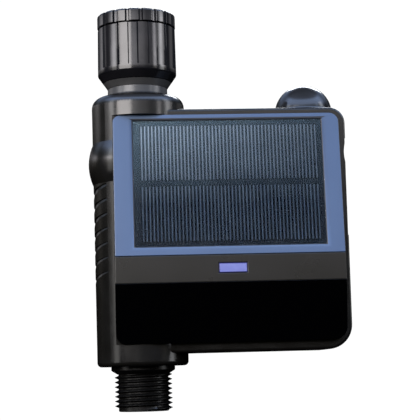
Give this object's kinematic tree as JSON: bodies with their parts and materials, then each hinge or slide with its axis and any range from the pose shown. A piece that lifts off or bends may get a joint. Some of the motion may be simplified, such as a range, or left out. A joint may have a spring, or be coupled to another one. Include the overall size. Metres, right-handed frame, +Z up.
{
  "type": "drip irrigation timer",
  "caption": "Solar hose timer: motorised ball valve in an upright water tube with a swivel tap nut, a male hose outlet and a box with a sloping solar panel and a push button.",
  "frame": {"origin": "centre of the inlet's mouth, on the axis of the water tube; the timer hangs below it", "axes": "+Z up along the water tube towards the tap, +X to the right towards the control box, +Y to the back, so the solar panel faces -Y"},
  "size_m": [0.1212, 0.0504, 0.189],
  "materials": {
    "casing": "semi-gloss fine-grained moulded ABS",
    "front_casing": "semi-gloss moulded ABS",
    "bezel": "satin slate-blue frame",
    "fascia": "satin warm dark grey",
    "cover": "high-gloss black",
    "lens": "translucent lavender light window",
    "panel_glass": "clear glossy cover",
    "silicon": "dark blue-green silicon cells with silver lines",
    "board": "green solder mask",
    "chips": "moulded black resin",
    "led": "moulded light-emitting diode",
    "nut": "glossy dark grey moulded nylon",
    "collar": "satin grey moulded plastic",
    "outlet": "satin black moulded plastic",
    "valve_plastic": "natural acetal",
    "seat": "white low-friction plastic",
    "rubber": "matt black rubber",
    "ball": "polished",
    "brass": "machined",
    "steel": "zinc-plated steel",
    "screen": "woven stainless mesh",
    "gear": "natural acetal",
    "button": "glossy black",
    "battery": "shrink-wrapped cell"
  },
  "bodies": {
    "housing": {"rear_shell": "casing", "front_shell": "front_casing", "case_screws": "steel", "case_seal": "rubber", "solar_bezel": "bezel", "solar_cover": "panel_glass", "solar_cells": "silicon", "solar_board": "board", "led_fascia": "fascia", "lower_cover": "cover", "led_lens": "lens", "outlet_pipe": "outlet", "ball_housing": "valve_plastic", "ball_seats": "seat", "inlet_spigot": "valve_plastic", "neck_collar": "collar", "filter_washer": "rubber", "filter_screen": "screen", "inner_gear_plate": "steel", "outer_gear_plate": "steel", "plate_pillars": "steel", "plate_screws": "steel", "cluster_axle": "steel", "drive_motor": "steel", "motor_screws": "steel", "button_bezel": "casing", "button_board": "board", "tact_switch": "chips", "button_spring": "steel", "battery_cell": "battery", "battery_holder": "chips", "battery_clips": "steel", "main_board": "board", "controller_chip": "chips", "radio_module": "chips", "board_parts": "chips", "status_led": "led"},
    "inlet_nut": {"coupling_nut": "nut", "thread_adapter": "nut"},
    "valve": {"valve_ball": "ball", "valve_stem": "brass", "stem_seals": "rubber", "output_gear": "gear"},
    "cluster": {"cluster_gear": "gear"},
    "motor": {"motor_shaft": "steel", "motor_pinion": "brass"},
    "button": {"button_cap": "button"}
  },
  "joints": [
    {"name": "nut_spin", "type": "hinge", "parent": "housing", "child": "inlet_nut", "pos_m": [0, 0, -0.02], "axis": [0, 0, 1], "continuous": true},
    {"name": "valve_turn", "type": "hinge", "parent": "housing", "child": "valve", "pos_m": [0, 0, -0.07254], "axis": [1, 0, 0], "range_deg": [0, 90]},
    {"name": "cluster_spin", "type": "hinge", "parent": "housing", "child": "cluster", "pos_m": [0.03, 0, -0.08934], "axis": [1, 0, 0], "range_deg": [-270, 0]},
    {"name": "motor_spin", "type": "hinge", "parent": "housing", "child": "motor", "pos_m": [0.04, 0, -0.10404], "axis": [1, 0, 0], "range_deg": [0, 675]},
    {"name": "button_press", "type": "slide", "parent": "housing", "child": "button", "axis": [0, 0, -1], "range_m": [0, 0.0015], "stiffness_N_per_m": 1200, "springref_m": -0.002, "deforming": ["button_spring"]}
  ],
  "couplings": [
    {"joint": "cluster_spin", "follows": "motor_spin", "ratio": -0.4},
    {"joint": "valve_turn", "follows": "motor_spin", "ratio": 0.13333}
  ]
}
